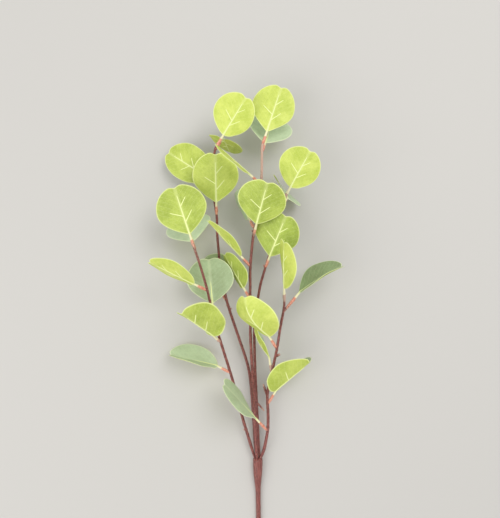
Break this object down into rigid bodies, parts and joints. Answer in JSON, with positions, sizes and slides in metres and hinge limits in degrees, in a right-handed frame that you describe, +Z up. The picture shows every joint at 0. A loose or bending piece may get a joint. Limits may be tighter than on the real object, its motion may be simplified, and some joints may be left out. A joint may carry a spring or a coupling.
{
  "type": "eucalyptus branch",
  "caption": "Artificial silver dollar eucalyptus branch: round green leaves on reddish twigs that fan out from a bare stem, laid down flat.",
  "frame": {"origin": "centre of the branch's length and width, on the surface that it lies on", "axes": "+Y along the stem towards the leaf tips, +X across to the right seen from above, +Z up"},
  "size_m": [0.2096, 0.6441, 0.0876],
  "materials": {
    "leaf": "satin printed green with pale raised veins and rim",
    "bark": "rough reddish brown bark over a wire core"
  },
  "bodies": {
    "root": {"leaf_01": "leaf", "leaf_02": "leaf", "leaf_03": "leaf", "leaf_04": "leaf", "leaf_05": "leaf", "leaf_06": "leaf", "leaf_07": "leaf", "leaf_08": "leaf", "leaf_09": "leaf", "leaf_10": "leaf", "leaf_11": "leaf", "leaf_12": "leaf", "leaf_13": "leaf", "leaf_14": "leaf", "leaf_15": "leaf", "leaf_16": "leaf", "leaf_17": "leaf", "leaf_18": "leaf", "leaf_19": "leaf", "leaf_20": "leaf", "leaf_21": "leaf", "leaf_22": "leaf", "leaf_23": "leaf", "leaf_24": "leaf", "leaf_25": "leaf", "leaf_26": "leaf", "leaf_27": "leaf", "twig_far_left": "bark", "twig_left": "bark", "twig_centre": "bark", "twig_right_inner": "bark", "twig_right": "bark", "main_stem": "bark"}
  },
  "joints": []
}
